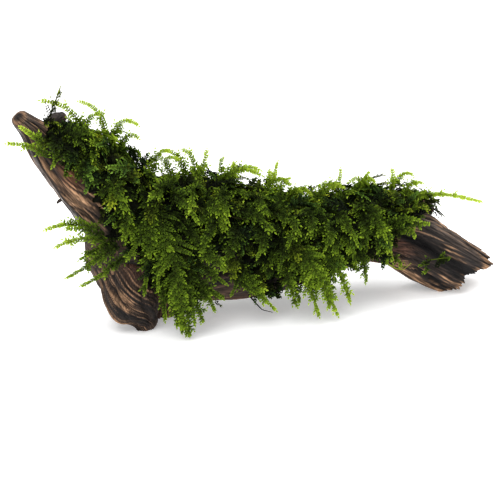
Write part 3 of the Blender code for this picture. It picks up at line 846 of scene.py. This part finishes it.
def lay(clump, limb, plan, spot, height, sprig, dice, rise=0.0):
    """One frond that leaves its root and lies over the ones below it.

    It is left out if it would hang under the limb or cover a bare spot.
    """
    root, out = limb.surface(spot[0], spot[1], height * plan["depth"])
    reach = sprig["length"] * dice.uniform(*LENGTHS)
    flow = np.array(plan["flow"], float)
    flat = unit(flow - out * (flow @ out))
    over = max(0.0, out[2]) ** 2
    spin = dice.gauss(0, STRAYS + STRAYS_ON_TOP * over)
    side = np.cross(out, flat)
    heading = flat * math.cos(spin) + side * math.sin(spin)
    heading = unit(heading + out * (dice.uniform(*STANDS_OUT) + rise * dice.random()))
    middle = root + heading * reach * 0.5
    sag = unit(heading + DOWN * dice.uniform(*SAGS) - out * dice.uniform(*TURNS_IN))
    tip = middle + sag * reach * 0.5
    if tip[2] < limb.surface(spot[0], -90)[0][2] + 1.0:
        return
    if is_bare(np.array((root, middle, tip, (root + middle) / 2, (middle + tip) / 2))):
        return
    # Fronds rooted deeper are darker, as painted shade, and those facing up lighter, as painted light.
    shade = plan["tone"] + 0.24 * (height - 0.5) + 0.10 * out[2] + dice.gauss(0, 0.06)
    shade += 0.24 * noise.noise(Vector(root / 6.0))
    face = unit(out * 1.2 + random_way(dice) * 0.5)
    clump.place(sprig, (root, middle, tip), face, shade, dice.uniform(-0.6, 0.6),
                dice.uniform(0.0, 0.05))


# Spots on the front where no moss lies, and how far round them
BARE = (
    ((48, -5, 14), 9.5),
    ((40, -6, 15.5), 4.6),
    ((38.5, -6, 21), 2),
    ((34.5, -7, 11.5), 2.6),
    ((29.5, -7, 11.8), 2.6),
    ((-46.5, 3, 56.5), 3.6),
    ((-54, -2, 54), 4),
    ((-50, -3, 46), 4),
    ((-46.5, -4, 39), 4.5),
    ((-35, -7, 10), 7.5),
    ((-32.5, -7, 18), 4.5),
    ((-37, -6, 20.5), 3.5),
    ((-30, -7, 5), 5.5),
    ((-10, -8, 16), 5.5),
    ((-7, -8, 11.5), 4),
    ((-13, -8, 19.5), 3),
    ((3.6, -9, 18.9), 2),
    ((-31.4, -8, 35.8), 2.5),
    ((27, -8, 27.1), 2),
)

# Clumps: the limb they lie on, the patch they cover, and how thickly
PLANS = {
    "moss_left_curtain": {
        "limb": "trunk", "shares": (0.05, 0.30), "depth": 4.4, "flow": (-0.1, 0, -1), "tone": 0.26,
        "angles": ((-46, -60, -54), (218, 222, 218)), "fill": 230, "shoots": 260,
    },
    "moss_middle": {
        "limb": "trunk", "shares": (0.28, 0.50), "depth": 4.3, "flow": (0.2, 0, -1), "tone": 0.25,
        "angles": ((-38, -30, -30), (216, 216, 212)), "fill": 190, "shoots": 220,
    },
    "moss_right_curtain": {
        "limb": "trunk", "shares": (0.48, 0.70), "depth": 4.1, "flow": (0.1, 0, -1), "tone": 0.26,
        "angles": ((-40, -46, -34), (212, 212, 210)), "fill": 180, "shoots": 210,
    },
    "moss_right_spray": {
        "limb": "trunk", "shares": (0.685, 0.80), "depth": 3.8, "flow": (-0.1, 0, -1), "tone": 0.27,
        "angles": ((-50, -40, -20), (210, 200, 150)), "fill": 85, "shoots": 110,
    },
    "moss_leg_tuft": {
        "limb": "trunk", "shares": (0.84, 0.90), "depth": 1.5, "flow": (0, 0, -1), "tone": 0.24,
        "angles": ((-22, -20, -14), (4, 12, 14)), "fill": 0, "shoots": 0,
    },
    "moss_arm": {
        "limb": "arm", "shares": (0.13, 0.72), "depth": 4, "flow": (0.2, 0, -1), "tone": 0.33,
        "angles": ((-30, 0, -34), (56, 200, 222)), "fill": 220, "shoots": 260,
    },
}

# Placed fronds of each clump: root, middle, tip, width, tone. The fronds on top have a higher tone, painted
# light for their backlit glow.
FRONDS = {
    "moss_left_curtain": (
        ((-22, -6, 34), (-24.5, -18, 22), (-19.4, -13, 1.8), 11, 0.47),
        ((-25, -6, 36), (-25, -14, 31), (-23.7, -12, 20), 9, 0.48),
        ((-20, -7, 21), (-20.5, -15, 16.5), (-17.5, -13, 5), 6.4, 0.43),
        ((-21, -7, 20.5), (-23, -15, 17), (-22, -13, 5), 6.4, 0.41),
        ((-23, -7, 21), (-26, -13, 16.5), (-24.5, -11, 6.1), 5.5, 0.44),
        ((-20, -7, 19.5), (-16.5, -13, 16), (-10.5, -12, 10.5), 5.5, 0.42),
        ((-19, -7, 20.5), (-15, -13, 19.5), (-9.5, -12, 14.2), 5, 0.40),
        ((-21.5, -7, 27.5), (-27.5, -14, 25), (-26.5, -13, 15), 5.4, 0.48),
        ((-19.5, -7, 29.5), (-16.5, -13, 28), (-14, -12, 20.5), 5.4, 0.42),
        ((-26.5, -7, 32), (-31, -13, 29), (-33.5, -11, 22.5), 6, 0.48),
        ((-27, -7, 26), (-29.5, -13, 22.5), (-29.5, -11, 13.5), 5.4, 0.44),
        ((-17, -7, 24), (-13, -14, 24), (-10.5, -13, 18.3), 5.4, 0.44),
        ((-15, -7, 14), (-12.5, -13, 13), (-9.9, -11, 10.5), 4.6, 0.38),
        ((-18, -7, 15), (-15, -15, 15), (-13.1, -14, 8.4), 5.4, 0.46),
        ((-20, -8, 18), (-20.5, -15.5, 11), (-19, -13, 1.8), 7, 0.47),
        ((-19, -8, 16), (-17.5, -15, 11), (-15.6, -13, 5.5), 6, 0.45),
        ((-22, -8, 16), (-22.5, -15, 11), (-20.8, -13, 3.2), 6, 0.44),
        ((-20.5, -2, 40), (-24, -11, 42), (-28, -12, 37.5), 6.4, 0.46),
        ((-15.5, -2, 38), (-17, -12, 41), (-18.5, -13, 34), 6.4, 0.50),
        ((-22, -2, 36), (-20, -9, 38), (-16.5, -12, 31), 7, 0.46),
        ((-14, -3, 34), (-12, -9, 36), (-9, -12, 30), 7, 0.46),
        ((-15, 2, 34), (-16.5, 2, 45), (-21.2, 2, 44.9), 3.6, 0.74),
        ((-13, 2, 34), (-13, 3, 44), (-16, 4, 44.1), 3.4, 0.74),
        ((-12.5, 2, 34), (-10.5, 3, 41), (-10, 3, 43.9), 3.4, 0.76),
        ((-20, 1, 38), (-23.5, 1, 45.5), (-18, 0, 43), 4.4, 0.72),
        ((-25, 1, 38), (-24, 1, 47), (-20, 0, 45), 4.4, 0.70),
        ((-19, 10, 27), (-20, 22, 23), (-21, 18.5, 12), 9, 0.48),
        ((-13, 10, 24), (-13, 20, 21), (-12, 17, 11), 7, 0.44),
    ),
    "moss_middle": (
        ((-4.5, -7, 30), (-8.5, -14, 27.5), (-10, -12, 17.5), 6.4, 0.41),
        ((-5, -6, 18), (-7, -14, 17), (-8.2, -12, 11.2), 5, 0.39),
        ((-5.5, -7, 18), (-4, -13, 14), (3.2, -12, 5.9), 5.4, 0.54),
        ((-7, -7, 18), (-7.5, -13, 14), (-0.5, -12, 10.3), 5, 0.43),
        ((-9, -7, 31), (-13.5, -13, 31), (-15, -12, 25), 6, 0.35),
        ((1, -7, 28), (0, -14, 27.5), (-2, -13, 20.5), 6, 0.41),
        ((-0.5, -2, 32), (-1.5, -11, 37.5), (1, -12, 31), 6.5, 0.39),
        ((-7, -2, 34), (-10.5, -11, 38), (-9, -12, 32), 6.5, 0.41),
        ((5, -6, 14), (7.5, -14, 14), (8.8, -13, 7.5), 5, 0.41),
        ((4.5, -6, 24), (5, -14, 24), (3.5, -13, 16.5), 6, 0.35),
        ((-6, -3, 30), (-3, -10, 33), (2, -13, 27), 6.5, 0.41),
        ((2, -3, 28), (6, -9, 31), (9, -12, 25.5), 6.5, 0.41),
        ((-7, 2, 31), (-8, 2, 41), (-6, 2, 41.8), 3.4, 0.74),
        ((-6, 2, 31), (-4, 1, 42), (2.6, 0, 38.3), 4.8, 0.72),
        ((-9, 1, 33), (-5, 0, 42), (3, 0, 37), 4.4, 0.70),
        ((-4, 3, 30), (-3.5, 4, 37), (-2.6, 5, 39.6), 3.6, 0.72),
        ((6, 2, 27), (6.5, 3, 35), (8.5, 4, 38.9), 3.2, 0.76),
        ((5, 2, 27), (5.2, 2, 34), (5.8, 2, 37.4), 3.2, 0.76),
        ((6.5, 2, 27), (8, 1, 36), (10.7, 1, 35.2), 3.6, 0.74),
        ((3.5, 1, 30), (6.5, 2, 38), (11, 2, 33.5), 4.4, 0.70),
        ((0, 10, 22), (1, 21.5, 20), (2, 18, 10), 8, 0.41),
        ((6, 9, 20), (7, 19, 18), (7, 16, 9), 6.5, 0.37),
    ),
    "moss_right_curtain": (
        ((9, -5, 22), (12.5, -16, 16.5), (19, -14, 3), 8.5, 0.58),
        ((8, -7, 22), (9.5, -15, 15.5), (14, -14, 3.6), 7, 0.54),
        ((16, -7, 21.5), (18.5, -13, 17.5), (23.2, -11, 5.1), 7, 0.56),
        ((12, -7, 22), (14, -14, 14), (16.5, -14, 6), 6, 0.53),
        ((5.5, -7, 20), (4.5, -14, 16), (8.3, -13, 6.5), 6.4, 0.46),
        ((10.5, -7, 26), (8, -13, 29), (5.5, -12, 21.5), 6, 0.44),
        ((18.5, -7, 25), (18, -13, 28), (15.5, -12, 20), 6, 0.44),
        ((22.5, -6, 24), (22.5, -12, 22), (24.5, -10, 14), 5.4, 0.52),
        ((23, -5, 20), (26, -13, 18), (27, -11, 10), 6, 0.44),
        ((14, -5, 18), (16, -15, 14), (17.1, -13, 6.9), 6.6, 0.46),
        ((20, -3, 26), (22, -10, 28), (24, -12, 21), 6.5, 0.46),
        ((27, -3, 27), (30, -9, 28), (32, -11, 21), 6.5, 0.48),
        ((13, -3, 26), (13, -10, 31), (12, -12, 24.5), 6.5, 0.42),
        ((11, 1, 26), (11, 0, 35), (13.4, -1, 31.7), 4.6, 0.68),
        ((9.5, 1, 27), (13.5, 1, 35.5), (16.5, 1, 30), 4.5, 0.70),
        ((16.5, 1, 26), (19.5, 1, 35.5), (25, 1, 31.5), 4.4, 0.72),
        ((23.5, 2, 26), (23.8, 2, 33), (24.4, 2, 36.3), 3.4, 0.76),
        ((29, 2, 27), (31, 3, 33), (32.7, 4, 34.2), 3.6, 0.74),
        ((24, 2, 26), (22, 1, 35), (18, 1, 32.4), 3.6, 0.70),
        ((18, 9, 20), (19, 19.5, 18), (18, 16.5, 8), 8, 0.46),
        ((25, 9, 22), (26, 18, 19), (26, 15, 11), 6.5, 0.42),
    ),
    "moss_right_spray": (
        ((30.5, -5, 26.5), (30.5, -11, 24.5), (35, -9, 14), 6.4, 0.54),
        ((34, -4, 22), (36, -10, 27.5), (43, -7, 23.4), 5.4, 0.50),
        ((28.5, -5, 27), (27, -11, 25.5), (27.5, -9, 17), 5.6, 0.46),
        ((32.5, -5, 24), (32.5, -10, 20.5), (33.5, -8, 13.5), 5.4, 0.50),
        ((34, -4, 20), (39, -10, 25), (41, -8, 19.5), 4.6, 0.50),
        ((38, -3, 22), (43.5, -7, 23), (46.3, -5, 21.8), 4, 0.56),
        ((34, -4, 15), (37, -10, 16), (37.5, -7, 11.6), 4, 0.50),
        ((38, 2, 26), (38.8, 2, 32), (38.6, 3, 34.7), 3.6, 0.76),
        ((39, 2, 26), (40.5, 3, 35), (44.4, 3, 32.6), 3.8, 0.76),
        ((40, 1, 25), (42, 0, 33), (46, 0, 31.1), 3.6, 0.74),
        ((31, 1, 27), (30, 0, 36), (26.1, 0, 33.3), 3.6, 0.72),
        ((27, 1, 27), (30, 1, 36), (33.5, 1, 32), 4.2, 0.70),
        ((41, 1.5, 24), (50, 1.5, 29), (64.2, 3, 23.2), 3.8, 0.80),
        ((40, -1, 23), (44.5, -2, 27), (47.9, -0.5, 24), 3.6, 0.70),
    ),
    "moss_leg_tuft": (
        ((48, -5, 12), (50, -8, 13.5), (51.4, -6.4, 12.4), 2.6, 0.40),
        ((47, -5, 12), (48, -8, 14), (49.6, -7, 14.4), 2.4, 0.38),
        ((45.5, -5, 12.5), (44, -8.5, 13.5), (42.5, -7.6, 11.8), 2.8, 0.42),
        ((46, -5, 11), (45, -8.5, 11.5), (43.5, -7.8, 9.8), 2.8, 0.44),
    ),
    "moss_arm": (
        ((-49, -2, 48), (-54, -5, 51.6), (-59.2, -4, 51.4), 3.4, 0.70),
        ((-50, -2, 49.5), (-53, -5, 53), (-56, -4, 55.2), 3.4, 0.68),
        ((-49, -2, 50), (-47, -7, 51), (-49.5, -7, 46), 4.4, 0.50),
        ((-38, -3, 31), (-46, -4, 32), (-51.3, -3, 29.3), 3.6, 0.70),
        ((-37, -4, 29), (-43, -6, 30.5), (-46.9, -6, 30.3), 3.4, 0.58),
        ((-36, -4, 27), (-44.5, -6, 28.5), (-49.3, -5, 25.5), 4.6, 0.70),
        ((-35, -4, 26), (-42, -11, 23), (-47.4, -6, 17.6), 4.6, 0.56),
        ((-32, -5, 24), (-39.5, -12, 20), (-44.3, -7, 15.6), 3.4, 0.54),
        ((-34, -4, 27), (-40, -8, 26), (-44, -6, 22), 5, 0.52),
        ((-41.5, 2, 50), (-42, 0, 58.5), (-50.3, -1, 60.1), 4.4, 0.76),
        ((-35, 2, 48), (-35, 1, 57.5), (-41.1, 2, 58.4), 3.4, 0.76),
        ((-35, 2, 47), (-32.5, 1, 56.5), (-27.2, 1, 51.8), 3.6, 0.74),
        ((-41, 2, 50), (-40, 1, 55.5), (-36.4, 1, 55.5), 3.8, 0.68),
        ((-33, 2, 46), (-30, 1, 51.5), (-27.5, 0, 49), 4, 0.68),
        ((-27, -3, 36), (-28, -13, 31), (-28.3, -12, 22.7), 6.4, 0.42),
        ((-37, -3, 42), (-36, -9, 42), (-33, -11, 35), 6.4, 0.44),
        ((-33, -3, 38), (-33, -10, 36), (-33.5, -10, 27), 6.4, 0.42),
    ),
}

# Bare stems of some clumps: their points, thickness, tone and hue
THREADS = {
    "moss_middle": (
        (((-2.5, -7, 9), (-1, -8, 7), (0.5, -8.4, 5.2), (3.4, -8, 4)), 0.5, 0.12, STEM),
        (((-11, -8, 31.5), (-6, -9.5, 30), (-2, -9, 29)), 0.4, 0.36, STEM),
    ),
    "moss_right_spray": (
        (((33, -7, 14), (35.5, -9, 12.4), (38, -8, 11.4), (40.5, -7, 12.6)), 0.35, 0.80, OLIVE),
        (((34, -7, 13), (36.5, -8.5, 11.8), (39, -7, 12.2), (38.4, -7, 13.4)), 0.30, 0.76, OLIVE),
    ),
    "moss_leg_tuft": (
        (((46, -6, 12.5), (47.5, -8.6, 13.6), (49.5, -8, 13.4), (51.5, -6.6, 12.6)), 0.3, 0.62, OLIVE),
        (((46, -6, 11.5), (44.5, -8.6, 12.4), (43, -8, 12)), 0.3, 0.56, OLIVE),
    ),
}

# The finishes


def set_inputs(node, **values):
    """Sets a node's inputs by their names, with _ for a space."""
    for name, value in values.items():
        node.inputs[name.replace("_", " ")].default_value = value
    return node


def new_material(name, **values):
    """Material, its node tree, and its shader with some inputs set."""
    material = bpy.data.materials.new(name)
    material.use_nodes = True
    tree = material.node_tree
    return material, tree, set_inputs(tree.nodes["Principled BSDF"], **values)


def wood_material():
    """Bark colour from the loft, with fine fibres and pits over it."""
    material, tree, shader = new_material("weathered_wood", Roughness=0.82, Specular_IOR_Level=0.25)
    new, link = tree.nodes.new, tree.links.new
    colour = new("ShaderNodeAttribute")
    colour.attribute_name = BARK_COLOURS
    unwrap = new("ShaderNodeUVMap")
    unwrap.uv_map = UV_MAP
    stretch = set_inputs(new("ShaderNodeMapping"), Scale=(190, 22, 1))
    link(unwrap.outputs["UV"], stretch.inputs["Vector"])
    fibres = set_inputs(new("ShaderNodeTexNoise"), Scale=1.0, Detail=5.0, Roughness=0.6)
    link(stretch.outputs["Vector"], fibres.inputs["Vector"])
    contrast = set_inputs(new("ShaderNodeMapRange"), From_Min=0.36, From_Max=0.66, To_Min=0.30, To_Max=1.75)
    link(fibres.outputs["Fac"], contrast.inputs["Value"])
    shade = new("ShaderNodeVectorMath")
    shade.operation = "SCALE"
    link(colour.outputs["Color"], shade.inputs[0])
    link(contrast.outputs["Result"], shade.inputs["Scale"])
    link(shade.outputs["Vector"], shader.inputs["Base Color"])
    bump = set_inputs(new("ShaderNodeBump"), Strength=0.7, Distance=0.2 * MM)
    link(fibres.outputs["Fac"], bump.inputs["Height"])
    link(bump.outputs["Normal"], shader.inputs["Normal"])
    return material


def colour_ramp(tree, stops):
    """Colour ramp node with the given places and colours."""
    node = tree.nodes.new("ShaderNodeValToRGB")
    elements = node.color_ramp.elements
    elements[0].position, elements[0].color = stops[0][0], (*stops[0][1], 1)
    elements[1].position, elements[1].color = stops[-1][0], (*stops[-1][1], 1)
    for place, colour in stops[1:-1]:
        elements.new(place).color = (*colour, 1)
    return node


def moss_material():
    """Leaf colour by tone: black-green painted shade, green, yellow-green tips brightened partly by painted
    light, brown stems.
    """
    material, tree, shader = new_material("moss", Roughness=0.6, Specular_IOR_Level=0.06)
    new, link = tree.nodes.new, tree.links.new
    unwrap = new("ShaderNodeUVMap")
    unwrap.uv_map = UV_MAP
    parts = new("ShaderNodeSeparateXYZ")
    link(unwrap.outputs["UV"], parts.inputs["Vector"])
    leaf = colour_ramp(tree, (
        (0.00, (0.0015, 0.002, 0.001)),
        (0.25, (0.005, 0.008, 0.002)),
        (0.42, (0.018, 0.031, 0.004)),
        (0.58, (0.058, 0.100, 0.009)),
        (0.76, (0.185, 0.290, 0.018)),
        (0.90, (0.380, 0.530, 0.040)),
        (1.00, (0.600, 0.750, 0.090)),
    ))
    link(parts.outputs["X"], leaf.inputs["Fac"])
    hue = colour_ramp(tree, (
        (0.06, (1.10, 0.55, 0.70)),
        (0.15, (1.30, 0.90, 0.90)),
        (0.30, (1.15, 0.96, 0.90)),
        (0.50, (1.00, 1.00, 1.00)),
        (0.80, (0.82, 0.95, 1.70)),
    ))
    link(parts.outputs["Y"], hue.inputs["Fac"])
    shade = new("ShaderNodeVectorMath")
    shade.operation = "MULTIPLY"
    link(leaf.outputs["Color"], shade.inputs[0])
    link(hue.outputs["Color"], shade.inputs[1])
    link(shade.outputs["Vector"], shader.inputs["Base Color"])
    glow = new("ShaderNodeBsdfTranslucent")
    link(shade.outputs["Vector"], glow.inputs["Color"])
    blend = set_inputs(new("ShaderNodeMixShader"), Fac=0.3)
    link(shader.outputs["BSDF"], blend.inputs[1])
    link(glow.outputs["BSDF"], blend.inputs[2])
    link(blend.outputs["Shader"], tree.nodes["Material Output"].inputs["Surface"])
    return material


# The scene


def dress(piece, material, node, slot):
    """Gives a piece its material, hangs it on the root body, and hides the node it stands for."""
    piece.data.materials.append(material)
    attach(piece, "root")
    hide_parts(node)


def build_wood(limbs):
    """One piece for each wood node, with the stubs that grow from it."""
    bark = wood_material()
    main, side = (0, 0, 0.8, 1), (0.8, 0, 0.2, 1)
    lofts = {
        "trunk": (bark_loft(limbs["trunk"], (240, 300), (5.0, 3.0), trunk_look, main, splinter_reach,
                            scale=0.85),
                  bark_loft(limbs["spur"], (80, 40), (1.0, 0.8), spur_look, side)),
        "arm": (bark_loft(limbs["arm"], (180, 190), (1.4, 3.0), arm_look, main),
                bark_loft(limbs["knot"], (60, 30), (1.0, 0.8), knot_look, (0.8, 0, 0.2, 0.6)),
                bark_loft(limbs["twig"], (16, 12), (0.2, 0.2), knot_look, (0.8, 0.6, 0.2, 0.4))),
        "foot": (bark_loft(limbs["foot"], (170, 110), (2.0, 3.0), foot_look, twist=-0.9, scale=0.6),),
        "heel": (bark_loft(limbs["heel"], (110, 70), (2.0, 2.5), heel_look, twist=0.3, scale=0.8),),
    }
    slots = {"trunk": "wood", "arm": "wood", "foot": "foot_wood", "heel": "foot_wood"}
    for node, parts in lofts.items():
        dress(bark_object("driftwood_" + node, parts), bark, node, slots[node])


def build_moss(limbs):
    """One piece for each clump of moss."""
    green = moss_material()
    dice = random.Random(7)
    fronds = [make_frond(length, width, dice, hue)
              for length, width in ((4.5, 4.2), (6, 5.0), (7.5, 6.0), (9, 6.5))
              for hue in (OLIVE, GREEN, GREEN, BLUE_GREEN)]
    shoots = [make_shoot(length, dice, hue) for length in (2.5, 3.5, 4.5)
              for hue in (OLIVE, GREEN, BLUE_GREEN)]
    for number, (name, plan) in enumerate(PLANS.items()):
        limb = limbs[plan["limb"]]
        clump = Clump()
        bed(clump, limb, plan, number * 3.7)
        for root, middle, tip, width, tone in FRONDS[name]:
            share, angle = limb.nearest(root)
            start = limb.surface(share, angle, 2.0)[0]
            corner = np.array(middle)
            length = np.linalg.norm(corner - start) + np.linalg.norm(np.array(tip) - corner)
            frond = make_frond(float(length) * 0.95, width, dice)
            face = FRONT if middle[1] < 8 else -FRONT
            clump.place(frond, (start, middle, tip), face, tone, dice.uniform(-0.2, 0.2))
        for path, thick, tone, hue in THREADS.get(name, ()):
            clump.thread(path, thick, tone, hue)
        grow(clump, limb, plan, fronds, shoots, dice)
        dress(clump.build("fronds_" + name), green, name, "moss")


def add_lamp(name, location, size, power):
    """Round soft lamp over the object."""
    lamp = bpy.data.lights.new(name, "AREA")
    lamp.shape = "DISK"
    lamp.size = size
    lamp.energy = power
    obj = bpy.data.objects.new(name, lamp)
    obj.location = location
    obj.rotation_euler = (Vector(LAMPS_AIM) - Vector(location)).to_track_quat("-Z", "Y").to_euler()
    bpy.context.scene.collection.objects.link(obj)


def build_stage():
    """White paper under the object, and soft light."""
    bpy.ops.mesh.primitive_plane_add(size=FLOOR_SIZE, location=(0, 0, 0))
    floor = bpy.context.object
    floor.name = "floor"
    paper = new_material("paper_white", Roughness=0.9, Base_Color=(0.92, 0.92, 0.92, 1),
                         Emission_Color=(1, 1, 1, 1), Emission_Strength=FLOOR_GLOW)[0]
    floor.data.materials.append(paper)
    world = bpy.data.worlds.new("studio")
    world.use_nodes = True
    set_inputs(world.node_tree.nodes["Background"], Color=(1, 1, 1, 1), Strength=WORLD_LIGHT)
    bpy.context.scene.world = world
    bpy.context.scene.view_settings.view_transform = "Standard"
    for lamp in LAMPS:
        add_lamp(*lamp)


def build_camera():
    """Camera at the photograph's angle."""
    target = to_frame(LOOK_AT)
    azimuth, elevation = math.radians(CAMERA_AZIMUTH), math.radians(CAMERA_ELEVATION)
    away = np.array((math.sin(azimuth) * math.cos(elevation),
                     -math.cos(azimuth) * math.cos(elevation), math.sin(elevation)))
    data = bpy.data.cameras.new("camera")
    data.lens = CAMERA_LENS
    data.sensor_width = CAMERA_SENSOR
    data.clip_start = 0.01
    camera = bpy.data.objects.new("camera", data)
    camera.location = Vector(target + away * CAMERA_DISTANCE * MM)
    camera.rotation_euler = (-Vector(away)).to_track_quat("-Z", "Y").to_euler()
    bpy.context.scene.collection.objects.link(camera)
    bpy.context.scene.camera = camera


def build():
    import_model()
    build_camera()
    limbs = {
        "trunk": Limb(TRUNK, TRUNK_GROOVES, lumps=0.6, seed=0.3),
        "arm": Limb(ARM, ARM_GROOVES, lumps=0.5, seed=5.1),
        "foot": Limb(FOOT, FOOT_GROOVES, lumps=0.8, seed=9.4),
        "heel": Limb(HEEL, HEEL_GROOVES, lumps=0.7, seed=12.2),
        "spur": Limb(SPUR, lumps=0.6, seed=17.8),
        "knot": Limb(KNOT, lumps=0.5, seed=21.5),
        "twig": Limb(TWIG, lumps=0.1, seed=25.2),
    }
    build_wood(limbs)
    build_moss(limbs)
    build_stage()


build()
